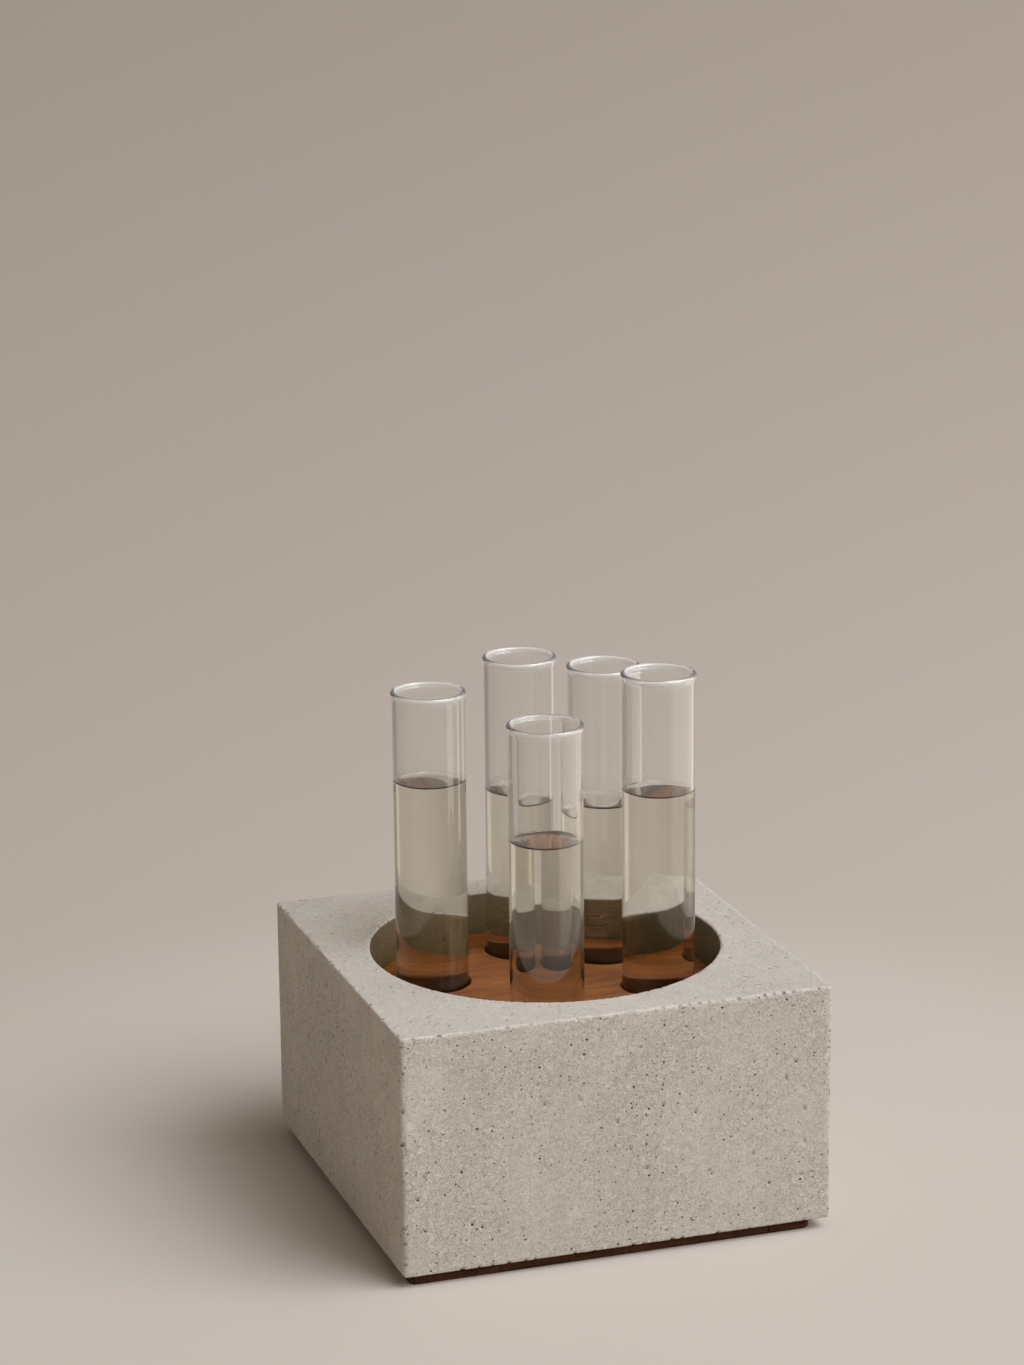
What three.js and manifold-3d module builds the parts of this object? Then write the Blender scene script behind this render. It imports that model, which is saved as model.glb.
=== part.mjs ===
// A concrete vase: a cast block with a round well, a wooden disc that lies on a ledge in the well, five
// glass test tubes that stand through the disc's holes on the floor of the well, and a thin wooden plate
// under the block. Millimetres, +Z up. The origin is the middle of the footprint, on the surface that the
// vase stands on, and -Y is the front.

import * as THREE from 'three';
import { mergeVertices } from 'three/addons/utils/BufferGeometryUtils.js';
import Module from 'manifold-3d';

const wasm = await Module();
wasm.setup();

// Glass tubes. Angles are counted from +X towards +Y, seen from above. Three are a little longer.
const tubeLength = 150;
const frontRightExtra = 7;
const backRightExtra = 1;
const backLeftExtra = 3;
const tubes = [
  { name: 'tube_front_centre', angle: -108, length: tubeLength },
  { name: 'tube_front_right', angle: -20, length: tubeLength + frontRightExtra },
  { name: 'tube_back_right', angle: 38.5, length: tubeLength + backRightExtra },
  { name: 'tube_back_left', angle: 83, length: tubeLength + backLeftExtra },
  { name: 'tube_front_left', angle: 155.5, length: tubeLength },
];
const tubeDiameter = 25;
const tubeWall = 1.4;
const beadProud = 0.4;
const beadHeight = 2.2;
const standGap = 0.3;

// Wooden disc. A hole lets the bead on a tube's rim pass, so the disc can be lifted off over the tubes.
const discThickness = 8;
const beadGap = 0.3;
const closestWeb = 3.1;
const discMargin = 7.35;
const discEdgeRadius = 0.8;
const holeEdgeRadius = 0.5;

// Concrete block and its stepped well.
const blockHeight = 82.5;
const blockWall = 15;
const blockCornerRadius = 2.2;
const blockEdgeRadius = 1.2;
const floorThickness = 21;
const discDepth = 15;
const discGap = 0.5;
const mouthRadius = 1.2;
const tubeSideGap = 1.5;
const coreTaper = 1;
const floorFillet = 3;

// Wooden plate under the block, glued on a little off its middle.
const plateThickness = 4;
const plateInset = 4.5;
const plateShift = 1.5;
const plateCornerRadius = 2.5;
const plateEdgeRadius = 0.6;

// Steps round a full turn, and in a quarter of a rounding.
const wellSteps = 80;
const holeSteps = 36;
const tubeSteps = 36;
const roundSteps = 2;
const bottomSteps = 6;

// Sizes that follow from the ones above.
const tubeRadius = tubeDiameter / 2;
const holeRadius = tubeRadius + beadProud + beadGap;
const closestStep = smallestStep(tubes.map((tube) => tube.angle));
const pitchRadius = (holeRadius + closestWeb / 2) / Math.sin(closestStep / 2);
const discRadius = pitchRadius + holeRadius + discMargin;
const wellRadius = discRadius + discGap;
const blockSide = 2 * (wellRadius + blockWall);
const lowerRadius = pitchRadius + holeRadius + tubeSideGap;
const blockTop = plateThickness + blockHeight;
const floorTop = plateThickness + floorThickness;
const discTop = blockTop - discDepth;
const ledgeTop = discTop - discThickness;
const above = 5;

// The smallest angle between neighbours on the ring, in radians.
function smallestStep(angles) {
  const sorted = [...angles].sort((a, b) => a - b);
  const steps = sorted.map((angle, i) => (i > 0 ? angle - sorted[i - 1] : angle + 360 - sorted.at(-1)));
  return THREE.MathUtils.degToRad(Math.min(...steps));
}

// A quarter turn or any other arc of a profile, as points from one angle to another, in degrees.
function arc(x, y, radius, from, to, steps = roundSteps) {
  return Array.from({ length: steps + 1 }, (_, i) => {
    const turn = THREE.MathUtils.degToRad(from + ((to - from) * i) / steps);
    return new THREE.Vector2(x + radius * Math.cos(turn), y + radius * Math.sin(turn));
  });
}

function point(x, y) {
  return new THREE.Vector2(x, y);
}

// A profile turned about Z. LatheGeometry turns about Y, so the result is stood up.
function turned(profile, steps) {
  return new THREE.LatheGeometry(profile, steps).rotateX(Math.PI / 2);
}

// A square slab with round corners and round top and bottom edges, standing on z = 0.
function roundedSlab(side, height, cornerRadius, edgeRadius) {
  const half = side / 2;
  const inner = half - cornerRadius;
  const outline = new THREE.Shape([
    ...arc(inner, -inner, cornerRadius, -90, 0),
    ...arc(inner, inner, cornerRadius, 0, 90),
    ...arc(-inner, inner, cornerRadius, 90, 180),
    ...arc(-inner, -inner, cornerRadius, 180, 270),
  ]);
  return new THREE.ExtrudeGeometry(outline, {
    depth: height - 2 * edgeRadius,
    bevelThickness: edgeRadius,
    bevelSize: edgeRadius,
    bevelOffset: -edgeRadius,
    bevelSegments: roundSteps,
  }).translate(0, 0, edgeRadius);
}

// A closed geometry as a solid: equal corners are merged and the slivers at a profile's poles dropped.
function solid(geometry) {
  const bare = geometry.clone().deleteAttribute('normal').deleteAttribute('uv');
  const merged = mergeVertices(bare, 1e-4);
  const corners = [];
  for (let i = 0; i < merged.index.count; i += 3) {
    const [a, b, c] = [0, 1, 2].map((k) => merged.index.getX(i + k));
    if (a !== b && b !== c && c !== a) corners.push(a, b, c);
  }
  return new wasm.Manifold(
    new wasm.Mesh({
      numProp: 3,
      vertProperties: merged.attributes.position.array,
      triVerts: new Uint32Array(corners),
    }),
  );
}

function geometryOf(manifold) {
  const { vertProperties, triVerts } = manifold.getMesh();
  const geometry = new THREE.BufferGeometry();
  geometry.setAttribute('position', new THREE.BufferAttribute(vertProperties, 3));
  geometry.setIndex(new THREE.BufferAttribute(triVerts, 1));
  geometry.computeVertexNormals();
  return geometry;
}

// Where a tube's axis stands on the ring.
function place({ angle }) {
  const turn = THREE.MathUtils.degToRad(angle);
  return [pitchRadius * Math.cos(turn), pitchRadius * Math.sin(turn)];
}

// The space that the mould's core leaves: the tapered lower well, the ledge and the well above it.
function wellCore() {
  const floorRadius = lowerRadius - coreTaper;
  return turned(
    [
      point(0, floorTop),
      ...arc(floorRadius - floorFillet, floorTop + floorFillet, floorFillet, -90, 0),
      point(lowerRadius, ledgeTop),
      point(wellRadius, ledgeTop),
      ...arc(wellRadius + mouthRadius, blockTop - mouthRadius, mouthRadius, 180, 90),
      point(wellRadius + mouthRadius, blockTop + above),
      point(0, blockTop + above),
    ],
    wellSteps,
  );
}

function concreteBlock() {
  const casting = roundedSlab(blockSide, blockHeight, blockCornerRadius, blockEdgeRadius);
  return solid(casting.translate(0, 0, plateThickness)).subtract(solid(wellCore()));
}

// A hole's cutter, whose ends flare out into the rounded edges of the hole.
function holeCutter(tube) {
  const flare = holeRadius + holeEdgeRadius;
  const profile = [
    point(0, ledgeTop - above),
    point(flare, ledgeTop - above),
    ...arc(flare, ledgeTop + holeEdgeRadius, holeEdgeRadius, 270, 180),
    ...arc(flare, discTop - holeEdgeRadius, holeEdgeRadius, 180, 90),
    point(flare, discTop + above),
    point(0, discTop + above),
  ];
  const [x, y] = place(tube);
  return turned(profile, holeSteps).translate(x, y, 0);
}

function woodDisc() {
  const rim = discRadius - discEdgeRadius;
  const blank = turned(
    [
      point(0, ledgeTop),
      ...arc(rim, ledgeTop + discEdgeRadius, discEdgeRadius, -90, 0),
      ...arc(rim, discTop - discEdgeRadius, discEdgeRadius, 0, 90),
      point(0, discTop),
    ],
    wellSteps,
  );
  return tubes.reduce((disc, tube) => disc.subtract(solid(holeCutter(tube))), solid(blank));
}

// A test tube with a round bottom and a fire-polished bead at its rim, standing on z = 0.
function glassTube({ length }) {
  const bore = tubeRadius - tubeWall;
  const bead = beadHeight / 2;
  const lip = tubeWall / 2;
  return turned(
    [
      ...arc(0, tubeRadius, tubeRadius, -90, 0, bottomSteps),
      point(tubeRadius, length - beadHeight),
      point(tubeRadius + beadProud, length - bead),
      ...arc(tubeRadius + beadProud - lip, length - lip, lip, 0, 90),
      ...arc(bore + lip, length - lip, lip, 90, 180),
      ...arc(0, tubeRadius, bore, 0, -90, bottomSteps),
    ],
    tubeSteps,
  );
}

function basePlate() {
  const side = blockSide - 2 * plateInset;
  return roundedSlab(side, plateThickness, plateCornerRadius, plateEdgeRadius);
}

const concrete = new THREE.MeshStandardMaterial({ color: 0xb9b3a9, roughness: 0.85 });
const reddishWood = new THREE.MeshStandardMaterial({ color: 0x9a5f3c, roughness: 0.5 });
const darkWood = new THREE.MeshStandardMaterial({ color: 0x2e1c12, roughness: 0.6 });
const glass = new THREE.MeshStandardMaterial({
  color: 0xe6ece8,
  roughness: 0.05,
  transparent: true,
  opacity: 0.35,
});

function mesh(name, manifold, material) {
  const piece = new THREE.Mesh(geometryOf(manifold), material);
  piece.name = name;
  return piece;
}

const vase = new THREE.Group();
vase.add(mesh('concrete_block', concreteBlock(), concrete));
vase.add(mesh('wood_disc', woodDisc(), reddishWood));

for (const tube of tubes) {
  const piece = mesh(tube.name, solid(glassTube(tube)), glass);
  piece.position.set(...place(tube), floorTop + standGap);
  vase.add(piece);
}

const plate = mesh('base_plate', solid(basePlate()), darkWood);
plate.position.set(-plateShift, -plateShift, 0);
vase.add(plate);

export default vase;
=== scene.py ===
import math
import random
from typing import NamedTuple

import bpy
import numpy as np
from mathutils import Matrix, Vector, noise
from mathutils.geometry import delaunay_2d_cdt


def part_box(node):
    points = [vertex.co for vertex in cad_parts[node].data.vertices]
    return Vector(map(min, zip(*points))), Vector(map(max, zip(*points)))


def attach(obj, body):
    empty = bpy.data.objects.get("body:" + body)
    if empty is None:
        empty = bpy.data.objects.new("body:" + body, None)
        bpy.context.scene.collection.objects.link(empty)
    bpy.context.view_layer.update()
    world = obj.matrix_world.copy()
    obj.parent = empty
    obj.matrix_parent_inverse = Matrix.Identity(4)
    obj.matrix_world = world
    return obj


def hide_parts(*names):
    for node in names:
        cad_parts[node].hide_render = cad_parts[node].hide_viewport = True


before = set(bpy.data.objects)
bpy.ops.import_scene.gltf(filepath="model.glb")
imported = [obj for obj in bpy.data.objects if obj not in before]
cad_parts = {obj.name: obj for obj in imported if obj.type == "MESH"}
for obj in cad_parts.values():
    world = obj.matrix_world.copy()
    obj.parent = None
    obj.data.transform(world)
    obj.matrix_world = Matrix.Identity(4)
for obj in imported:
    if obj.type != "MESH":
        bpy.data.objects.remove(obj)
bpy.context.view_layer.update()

# A concrete vase: a cast block with a round well, a wooden disc in the well, five glass test tubes with
# water in them, and a thin wooden plate under the block. Metres, +Z up, -Y is the front. The scale of a noise
# is in 1 / m.

MM = 0.001

# Camera, fitted to the block's corners and the tubes' rims. Angles in degrees.
CAMERA_PLACE = (-0.40942, -1.19096, 0.51717)
CAMERA_YAW = 18.5
CAMERA_PITCH = 15.037
CAMERA_ROLL = -0.58
CAMERA_LENS = 102.136
CAMERA_SENSOR = 36.0
CAMERA_CLIP = 0.01

# How many times light may bounce. Tubes of glass and water behind each other need many.
BOUNCES = 32

# Light. The key is a large soft panel above the front right. The world fills the shade, with a strength that
# falls from the horizon up to where the height of the direction is FILL_TOP.
KEY_AIM = (0.0, 0.0, 0.05)
KEY_DIRECTION = (0.448, -0.448, 0.773)
KEY_DISTANCE = 4.0
KEY_SIZE = 3.62
KEY_POWER = 215.0
KEY_COLOUR = (0.91, 0.95, 1.0)
FILL_LOW = 0.715
FILL_HIGH = 0.12
FILL_TOP = 0.7
FILL_COLOUR = (1.0, 0.873, 0.725, 1.0)

# The floor, and how far from the object it gives way to the backdrop.
FLOOR_COLOUR = (0.585, 0.521, 0.461, 1.0)
FLOOR_HALF = 3.0
FADE_START = 0.2
FADE_END = 0.34

# The backdrop's colour by the height of the direction, up to a pale ceiling. It is dimmer towards the back
# left.
BACKDROP_STOPS = {
    -1.0: (0.62, 0.553, 0.49, 1),
    -0.45: (0.54, 0.478, 0.422, 1),
    -0.33: (0.465, 0.405, 0.355, 1),
    -0.09: (0.357, 0.302, 0.257, 1),
    0.16: (0.34, 0.288, 0.246, 1),
    0.3: (0.42, 0.375, 0.335, 1),
    0.5: (0.62, 0.58, 0.54, 1),
    1.0: (0.9, 0.87, 0.84, 1),
}
BACK_LEFT_EDGES = (-0.9, -0.3)
BACK_LEFT_GAINS = (0.774, 1.15)

# The room round the object by azimuth, in degrees from +Y towards +X: how bright its walls are where they
# aren't seen directly. Reflections also show a pale wall on the right and a dark one at the back left.
ROOM_STOPS = {
    -180: 1.0,
    -100: 0.85,
    -60: 0.75,
    -30: 0.9,
    -8: 1.0,
    50: 1.0,
    57: 1.7,
    62: 1.7,
    68: 1.0,
    80: 1.1,
    180: 1.0,
}
PALE_WALL_EDGES = (62, 80, 150, 165)
PALE_WALL_GAIN = 3.2
DARK_WALL_EDGES = (-45, -32, -14, -5)
DARK_WALL_LOSS = 0.55

# Heights that the pieces share, from the frame. The disc lies on the ledge in the well.
BLOCK_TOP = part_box("concrete_block")[1].z
DISC_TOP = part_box("wood_disc")[1].z
LEDGE_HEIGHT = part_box("wood_disc")[0].z

# Concrete block, from its CAD solid and the same driving sizes. Its edges are a little crisper here.
CORNER_RADIUS = 1.6 * MM
LEAST_CORNER_RADIUS = 0.3 * MM
EDGE_RADIUS = 0.8 * MM
WELL_RADIUS = 60.0 * MM
MOUTH_RADIUS = 0.8 * MM
LOWER_RADIUS = 53.65 * MM
CORE_TAPER = 1.0 * MM
WELL_FLOOR = 25.0 * MM
FLOOR_FILLET = 3.0 * MM

# The block's grid: steps along a side and round a corner or an edge, and rows on each of its faces. The
# floor, the ledge and the underside have their few rows at shares of the way out.
SIDE_STEPS = 128
CORNER_STEPS = 8
EDGE_STEPS = 4
FILLET_STEPS = 3
FLOOR_SHARES = (0.08, 0.5)
LOWER_WELL_ROWS = 5
LEDGE_SHARES = (0.05, 0.95, 1)
WELL_ROWS = 12
TOP_ROWS = 18
TOP_EASE = 0.5
SIDE_ROWS = 64
UNDERSIDE_SHARES = (0.97, 0.5, 0.05)

# Wear of the block, as pairs of a depth and the scale of its noise. There is a chip where its noise is over
# CHIP_START, and the mouth of the well is worn less than the outer edges.
UNEVEN_FACES = ((0.02 * MM, 60), (0.012 * MM, 300))
RAGGED_EDGES = (0.04 * MM, 900)
CHIPS = (0.9 * MM, 700)
CHIP_START = 0.36
MOUTH_WEAR = 0.6

# Air holes in the block's faces and notches along its edges, with how many places are tried for each. A
# patch is what a hole takes up of the grid: the rows and the steps that it reaches each way from its middle.
# Notches lie in clumps, whose noise is scaled by steps or rows, and margins are rows or a width left free.
HOLE_SEED = 7
CRATERS = 300
NOTCHES = 260
TRIES = 4
CRATER_PATCH = (1, 1)
LEVEL_NOTCH_PATCH = (3, 1)
UPRIGHT_NOTCH_PATCH = (1, 4)
LEVEL_NOTCH_SHARE = 0.72
LEVEL_CLUMPS = 0.12
UPRIGHT_CLUMPS = 0.2
FACE_MARGIN_ROWS = 3
UPRIGHT_MARGIN_ROWS = 2
CORNER_MARGIN = 2 * MM

# The form of such a hole. Its depth is a share of its radius, and each ring of it has its reach, depth and
# painted shade as shares of the hole's. The painted shade darkens the hole's colour, most at its bottom.
NOTCH_RADII = (0.25 * MM, 0.85 * MM)
NOTCH_DEPTHS = (0.3, 0.7)
NOTCH_SHADE = 0.3
LEAST_CRATER_RADIUS = 0.2 * MM
CRATER_RADIUS_RANGE = 0.32 * MM
CRATER_DEPTHS = (0.8, 1.4)
UNEVEN_RIM = (0.85, 1.15)
LARGEST_REACH = 0.8
HOLE_RINGS = ((1.0, 0.05, 0.1), (0.8, 0.7, 0.9), (0.45, 1.0, 1.0))
HOLE_BOTTOM = 1.05

# Smaller air holes in the concrete's material, painted dark inside as shade and sunk by the relief: the cell
# that a pit is drawn in, the share of the cells that have one, and the smallest and largest radius.
LARGE_PITS = (5.4 * MM, 0.26, 0.28 * MM, 0.46 * MM)
MEDIUM_PITS = (3.3 * MM, 0.25, 0.2 * MM, 0.32 * MM)
SMALL_PITS = (1.7 * MM, 0.4, 0.12 * MM, 0.24 * MM)
SMALL_PIT_DARKNESS = 0.6
PIT_CORE = 0.6
PITS_ON_TOP = 0.55

# How far each face's pattern of pits is shifted, for faces across X, Y and Z.
FACE_SHIFTS = (0.7, 1.9, 4.3)

# The squiggly lines in the concrete lie beside a middle value of their noise, a light one above it and a dark
# one below. The noise has its scale, detail, roughness and distortion.
LINE_NOISE = (380, 2, 0.65, 2.2)
LINE_MIDDLE = 0.5
LINE_SHIFT = 0.05
LINE_WIDTH = 0.055
LINE_CONTRAST = 0.13
LINES_ON_TOP = 0.5

# Patches where the pits and the lines are fainter: the range of a noise, and the factors that it becomes.
PATCH_SCALE = 45
PIT_PATCHES = (0.38, 0.52, 0.35, 1.0)
LINE_PATCHES = (0.38, 0.6, 0.5, 0.9)

# Layers of tone in the concrete: a noise's scale, detail and roughness, and the factors of its dark and light
# parts. The streaks' noise is stretched upwards. The grain and the worn edges have their own ranges; the
# edges are lighter as wear and as a painted highlight.
LAYER_RANGE = (0.3, 0.7)
CLOUDS = (20, 2, 0.5, 0.965, 1.03)
MOTTLE = (200, 4, 0.7, 0.955, 1.04)
STREAK_STRETCH = (110, 110, 9)
STREAKS = (1.0, 3, 0.5, 0.975, 1.02)
GRAIN_NOISE = (1300, 3, 0.7)
GRAIN_TONES = (0.34, 0.66, 0.88, 1.12)
WEAR_AND_HIGHLIGHT_SCALE = 260
WEAR_AND_HIGHLIGHT_TONES = (0.35, 0.6, 0.0, 0.13)

# Colours of the concrete, and of the well's wall, whose painted shade is darker and browner at the disc and
# lighter up towards the mouth.
TINT_SCALE = 90
TINT_RANGE = (0.35, 0.65)
CONCRETE_TINTS = ((0.518, 0.474, 0.413, 1), (0.529, 0.472, 0.421, 1))
WELL_SHADE_TINTS = ((0.14, 0.1, 0.04, 1), (0.225, 0.168, 0.097, 1))
WELL_SHADE_START = -1 * MM
WELL_SHADE_END = 13 * MM
# The near-black colour of the painted shade in air holes and notches, and how strongly it is laid on.
HOLE_SHADE_COLOUR = (0.045, 0.035, 0.026, 1)
HOLE_SHADE_STRENGTH = 0.95

# To the material, what lies less than TOP_SKIN below the top is the top. Whatever else lies within the well's
# radius and WALL_SKIN more is the well.
TOP_SKIN = 0.6 * MM
WALL_SKIN = 0.4 * MM

# The concrete's relief: the weights of the lines, the grain and the pits, and the height of the whole.
LINE_RELIEF = 3.0
GRAIN_RELIEF = 0.3
PIT_RELIEF = 2.5
CONCRETE_RELIEF = 0.25 * MM

# Glass tubes and the water in them. MENISCUS_INSETS are distances from the glass, in millimetres.
TUBE_RADIUS = 12.5 * MM
TUBE_WALL = 1.4 * MM
TUBE_SEGMENTS = 96
BOTTOM_STEPS = 16
BEAD_RADIUS = 12.9 * MM
BEAD_HEIGHT = 2.6 * MM
BEAD_STEPS = 6
LIP_STEPS = 12
BELOW_BEAD = 1 * MM
HAZE_HEIGHT = 0.8 * BEAD_HEIGHT
BEAD_HAZE = 0.14
GLASS_COLOUR = (0.995, 1.0, 0.995, 1)
GLASS_IOR = 1.47
WATER_COLOUR = (0.82, 0.797, 0.732, 1)
WATER_IOR = 1.33
SHADOW_LIGHT = (0.76, 0.75, 0.73, 1.0)
WATER_OVERLAP = 0.15 * MM
WATER_SHARP_FROM = 50
MENISCUS_RISE = 1.15 * MM
MENISCUS_REACH = 0.85 * MM
MENISCUS_INSETS = (0.0, 0.15, 0.35, 0.6, 1.0, 1.5, 2.1, 2.9, 4.0, 5.5)
WATER_LEVELS = {
    "front_left": 143.2 * MM,
    "front_centre": 134.9 * MM,
    "front_right": 140.7 * MM,
    "back_left": 130.0 * MM,
    "back_right": 127.0 * MM,
}

# Wood goes from its dark to its light tint over this range of its noises.
WOOD_RANGE = (0.38, 0.62)

# Wooden disc. Its noises are stretched along X, and a stretch is a scale along each axis. A flat face is
# filled between its rims: points closer than SAME_POINT are one, and nothing is kept inside a hole.
SAME_POINT = 1e-7
INSIDE_HOLE = 0.999
DISC_EDGE = 0.8 * MM
DISC_EDGE_STEPS = 4
DISC_SEGMENTS = 256
HOLE_RADIUS = 13.2 * MM
HOLE_EDGE = 0.5 * MM
HOLE_SEGMENTS = 96
DISC_GRAIN_STRETCH = (60, 1100, 400)
DISC_BAND_STRETCH = (14, 190, 60)
DISC_PORE_STRETCH = (110, 1900, 900)
DISC_NOISE_TURN = 18.5
BAND_SHARE = 0.35
# The disc's tints are darker than the wood's own colour: painted shade over the whole disc.
SHADED_DISC_TINTS = ((0.125, 0.032, 0.005, 1), (0.31, 0.1, 0.018, 1))
PORE_TONES = (0.34, 0.44, 0.6, 1.0)
# How dark the disc is below its top face, as in the holes: painted shade.
SHADE_BELOW_TOP = 0.22
DISC_RELIEF = 0.12 * MM

# Wooden plate. A joint crosses it, dark in its middle and gone at the end of its reach.
PLATE_EDGE = 0.6 * MM
PLATE_EDGE_STEPS = 3
PLATE_CORNER = 2.5 * MM
PLATE_SIDE_STEPS = 60
PLATE_CORNER_STEPS = 6
PLATE_GRAIN_STRETCH = (70, 900, 900)
SAW_MARK_STRETCH = (900, 900, 60)
SAW_MARK_SHARE = 0.4
PLATE_TINTS = ((0.022, 0.0066, 0.0022, 1), (0.072, 0.026, 0.0095, 1))
PLATE_RELIEF = 0.1 * MM
JOINT_PLACE = 54.0 * MM
JOINT_REACH = (0.2 * MM, 0.5 * MM)
JOINT_DARKNESS = 0.2


# Small helpers for meshes and objects

def make_object(name, vertices, faces, material, flat_faces=(), sharp_from=None):
    """A smooth-shaded mesh object. The faces numbered in flat_faces stay flat, and edges that turn by more
    than sharp_from degrees stay sharp."""
    mesh = bpy.data.meshes.new(name)
    mesh.from_pydata([tuple(v) for v in vertices], [], faces)
    mesh.update()
    smooth = np.ones(len(mesh.polygons), bool)
    smooth[list(flat_faces)] = False
    mesh.polygons.foreach_set("use_smooth", smooth)
    if sharp_from:
        mesh.set_sharp_from_angle(angle=math.radians(sharp_from))
    mesh.materials.append(material)
    made = bpy.data.objects.new(name, mesh)
    bpy.context.scene.collection.objects.link(made)
    return made


def set_attribute(piece, name, values):
    """A number at each vertex of a piece, for its material."""
    piece.data.attributes.new(name, "FLOAT", "POINT").data.foreach_set("value", values)


def dress(piece, body, slot, *nodes):
    """Puts a piece on its body and hides the CAD nodes that it stands for. The slot is not used."""
    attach(piece, body)
    if nodes:
        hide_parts(*nodes)


def arc(x, y, radius, start, end, steps):
    """Points on an arc, angles in degrees."""
    turns = np.radians(np.linspace(start, end, steps + 1))
    return [(x + radius * math.cos(t), y + radius * math.sin(t)) for t in turns]


def edge_profile(inner, edge, bottom, top, steps):
    """The side of a slab with rounded edges, from its top face to its bottom face, as (reach, height)."""
    return arc(inner, top - edge, edge, 90, 0, steps) + arc(inner, bottom + edge, edge, 0, -90, steps)


def ring(centre, radius, height, segments):
    """Points round an upright axis."""
    cx, cy = centre
    turns = np.linspace(0, 2 * math.pi, segments, endpoint=False)
    return [(cx + radius * math.cos(t), cy + radius * math.sin(t), height) for t in turns]


def strip(a, b, count):
    """Faces between two closed loops of vertices that start at the numbers a and b."""
    return [(a + k, b + k, b + (k + 1) % count, a + (k + 1) % count) for k in range(count)]


def lathe(profile, segments, centre):
    """Vertices and faces of a profile (radius, height) that starts and ends on the axis, turned about Z."""
    vertices = [(*centre, profile[0][1]), (*centre, profile[-1][1])]
    for radius, height in profile[1:-1]:
        vertices += ring(centre, radius, height, segments)
    rings = len(profile) - 2

    def at(row, k):
        """The number of a vertex, after the two on the axis."""
        return 2 + row * segments + k % segments

    faces = [(0, at(0, k + 1), at(0, k)) for k in range(segments)]
    for row in range(rings - 1):
        faces += [(at(row, k), at(row, k + 1), at(row + 1, k + 1), at(row + 1, k)) for k in range(segments)]
    faces += [(1, at(rings - 1, k), at(rings - 1, k + 1)) for k in range(segments)]
    return vertices, faces


# Small helpers for shader nodes

def put(tree, socket, value):
    """Links a socket to the one that feeds it, or sets its value."""
    if isinstance(value, bpy.types.NodeSocket):
        tree.links.new(value, socket)
    else:
        socket.default_value = value


def add(tree, kind, inputs=None, **settings):
    """A new node. Inputs are values or the sockets that feed them."""
    node = tree.nodes.new(kind)
    for name, value in settings.items():
        setattr(node, name, value)
    for key, value in (inputs or {}).items():
        put(tree, node.inputs[key], value)
    return node


def calc(tree, operation, *values, clamp=False):
    """The output of a Math node."""
    node = add(tree, "ShaderNodeMath", dict(enumerate(values)), operation=operation, use_clamp=clamp)
    return node.outputs[0]


def product(tree, values):
    """The values multiplied together."""
    result = values[0]
    for value in values[1:]:
        result = calc(tree, "MULTIPLY", result, value)
    return result


def remap(tree, value, low, high, to_low=0.0, to_high=1.0, smooth=False):
    """A value carried from one range to another, clamped."""
    inputs = {
        "Value": value,
        "From Min": low,
        "From Max": high,
        "To Min": to_low,
        "To Max": to_high,
    }
    kind = "SMOOTHSTEP" if smooth else "LINEAR"
    return add(tree, "ShaderNodeMapRange", inputs, interpolation_type=kind).outputs["Result"]


def mix(tree, factor, a, b, blend="MIX"):
    """The colour output of a Mix node."""
    node = add(tree, "ShaderNodeMix", data_type="RGBA", blend_type=blend)
    values = {"Factor": factor, "A": a, "B": b}
    for socket in node.inputs:
        if socket.enabled and socket.name in values:
            put(tree, socket, values[socket.name])
    return next(s for s in node.outputs if s.enabled)


def dimmed(tree, colour, factor):
    """A colour times a number."""
    grey = add(tree, "ShaderNodeCombineColor", {0: factor, 1: factor, 2: factor}).outputs[0]
    return mix(tree, 1.0, grey, colour, "MULTIPLY")


def mixed_shader(tree, factor, first, second):
    """The output of a Mix Shader node between two shaders."""
    inputs = {0: factor, 1: first.outputs[0], 2: second.outputs[0]}
    return add(tree, "ShaderNodeMixShader", inputs).outputs[0]


def parts(tree, vector):
    """The X, Y and Z of a vector."""
    return add(tree, "ShaderNodeSeparateXYZ", {0: vector}).outputs


def length(tree, vector):
    """The length of a vector."""
    return add(tree, "ShaderNodeVectorMath", {0: vector}, operation="LENGTH").outputs["Value"]


def attribute(tree, name):
    """A number that the mesh holds at each vertex."""
    return add(tree, "ShaderNodeAttribute", attribute_name=name).outputs["Fac"]


def noise_at(tree, vector, scale, detail=2.0, roughness=0.5, distortion=0.0):
    """The value of a Noise texture, whose features are about 1 / scale metres."""
    inputs = {
        "Vector": vector,
        "Scale": scale,
        "Detail": detail,
        "Roughness": roughness,
        "Distortion": distortion,
    }
    return add(tree, "ShaderNodeTexNoise", inputs).outputs[0]


def stretched(tree, vector, scale, turn=0.0):
    """Coordinates scaled along each axis and then turned about Z, in degrees. The turn comes last, so it
    changes where a noise falls and not the way that it is stretched."""
    inputs = {"Vector": vector, "Rotation": (0, 0, math.radians(turn)), "Scale": scale}
    return add(tree, "ShaderNodeMapping", inputs, vector_type="POINT").outputs[0]


def bumped(tree, height, distance, strength):
    """The normal of a surface with a relief."""
    inputs = {"Height": height, "Distance": distance, "Strength": strength}
    return add(tree, "ShaderNodeBump", inputs).outputs[0]


def colour_ramp(tree, value, stops, low, high):
    """The colour of a ramp over a value, from a dictionary of stops between two ends."""
    ramp = add(tree, "ShaderNodeValToRGB", {0: remap(tree, value, low, high)})
    elements = ramp.color_ramp.elements
    elements.remove(elements[1])
    for i, (place, colour) in enumerate(stops.items()):
        position = (place - low) / (high - low)
        stop = elements[0] if i == 0 else elements.new(position)
        stop.position = position
        stop.color = colour
    return ramp.outputs[0]


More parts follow.
